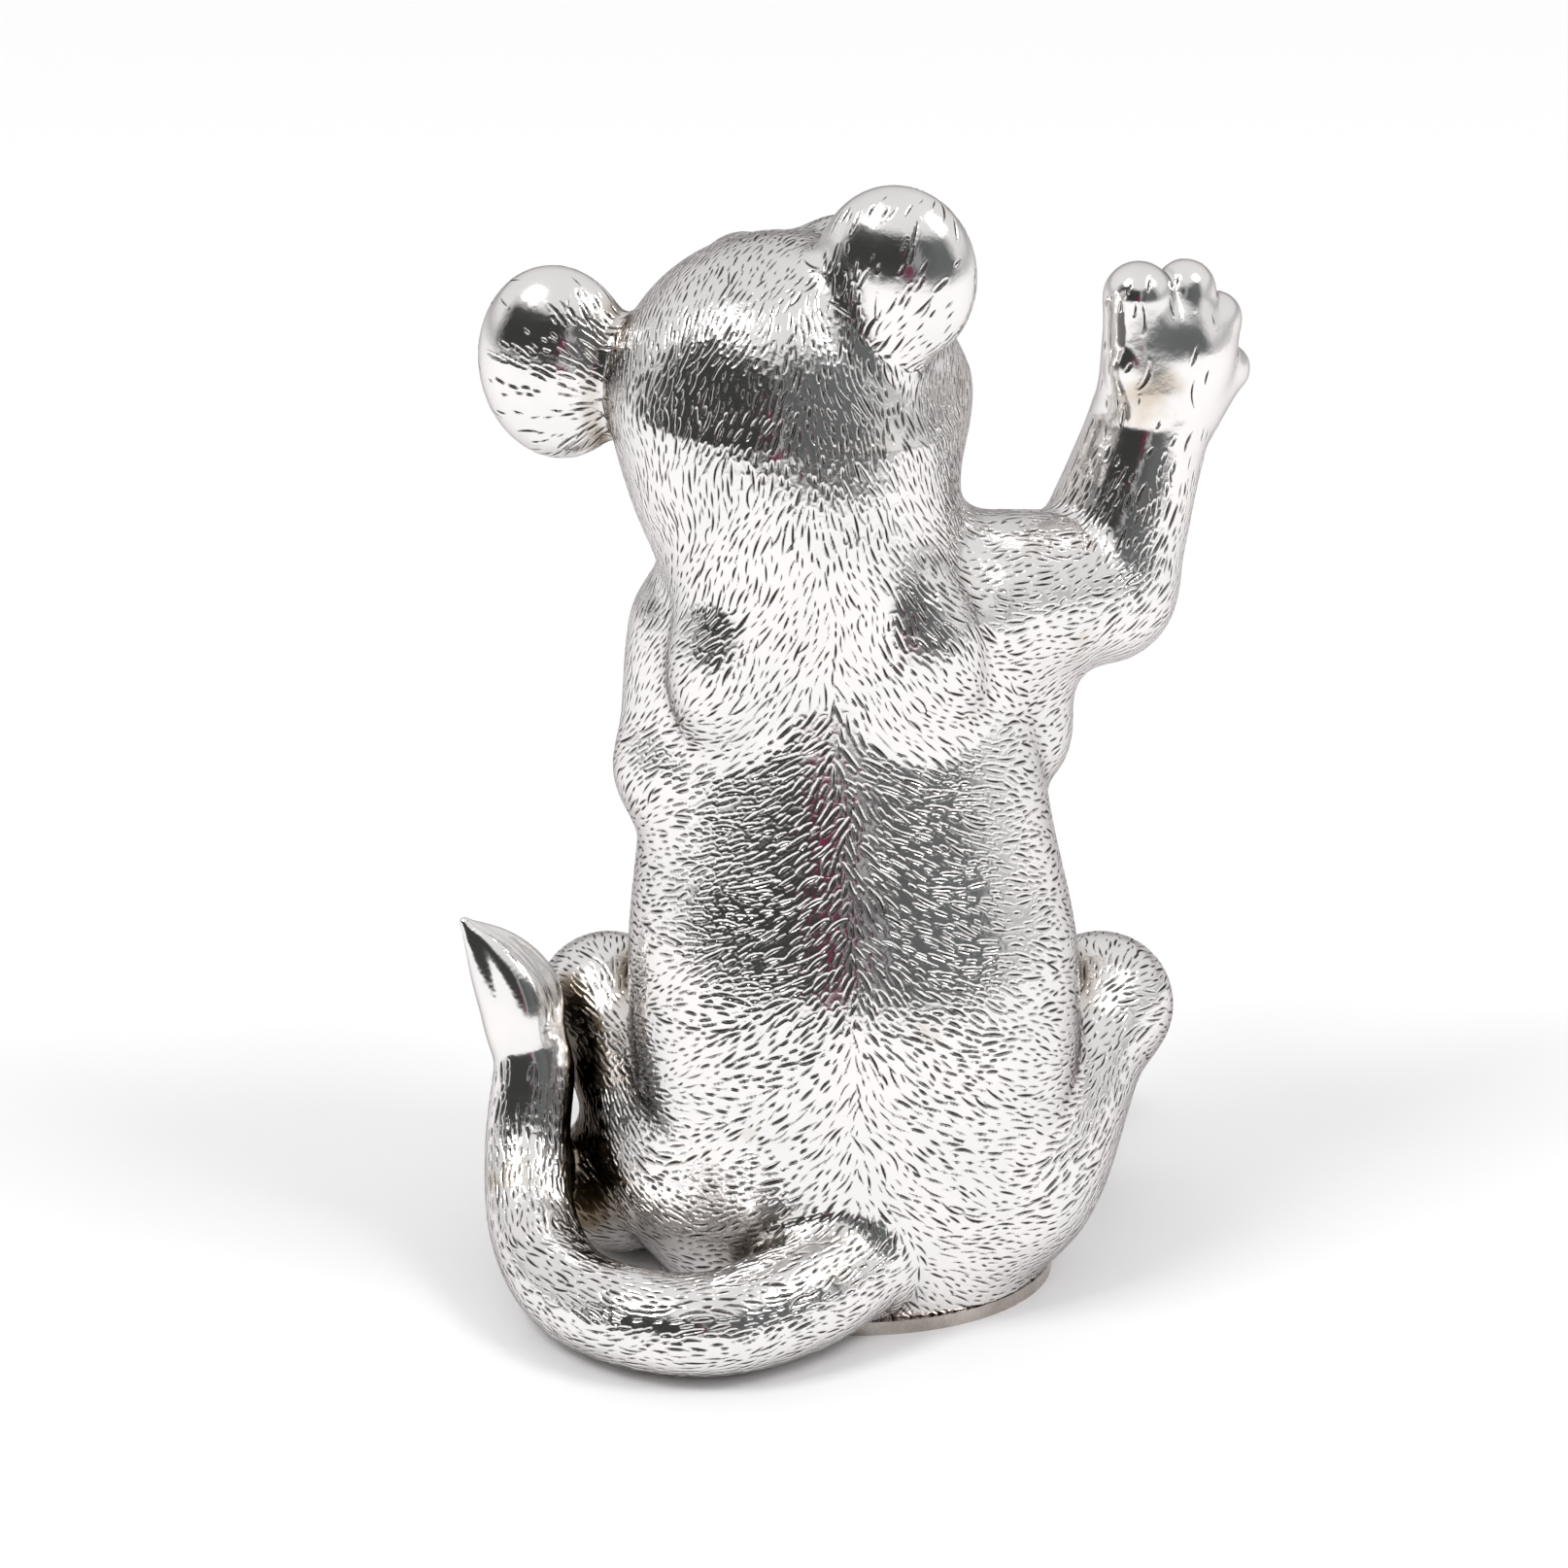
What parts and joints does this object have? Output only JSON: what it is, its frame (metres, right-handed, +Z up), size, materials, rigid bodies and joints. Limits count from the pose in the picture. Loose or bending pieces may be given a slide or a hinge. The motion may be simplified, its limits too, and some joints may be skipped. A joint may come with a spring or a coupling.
{
  "type": "seated lion cub figurine",
  "caption": "Seated animal cub figurine in engraved silver, one forepaw raised, tail curled round its side, on a flat base plate.",
  "frame": {"origin": "on the underside of the base plate, below the middle of the body", "axes": "+Z up, the cub faces -Y, its left side is +X"},
  "size_m": [0.0668, 0.0605, 0.0971],
  "materials": {
    "chased_silver": "polished silver with engraved, darkened hair strokes",
    "plain_silver": "plain polished silver plate",
    "pin_silver": "drawn silver wire"
  },
  "bodies": {
    "root": {"back_shell": "chased_silver", "base_plate": "plain_silver", "ear_pins": "pin_silver", "face_shell": "chased_silver", "foreleg_pins": "pin_silver", "front_shell": "chased_silver", "hind_leg_pins": "pin_silver", "left_ear": "chased_silver", "left_foreleg": "chased_silver", "left_hind_leg": "chased_silver", "right_ear": "chased_silver", "right_foreleg": "chased_silver", "right_hind_leg": "chased_silver", "skull_shell": "chased_silver", "tail": "chased_silver", "tail_pin": "pin_silver"}
  },
  "joints": []
}
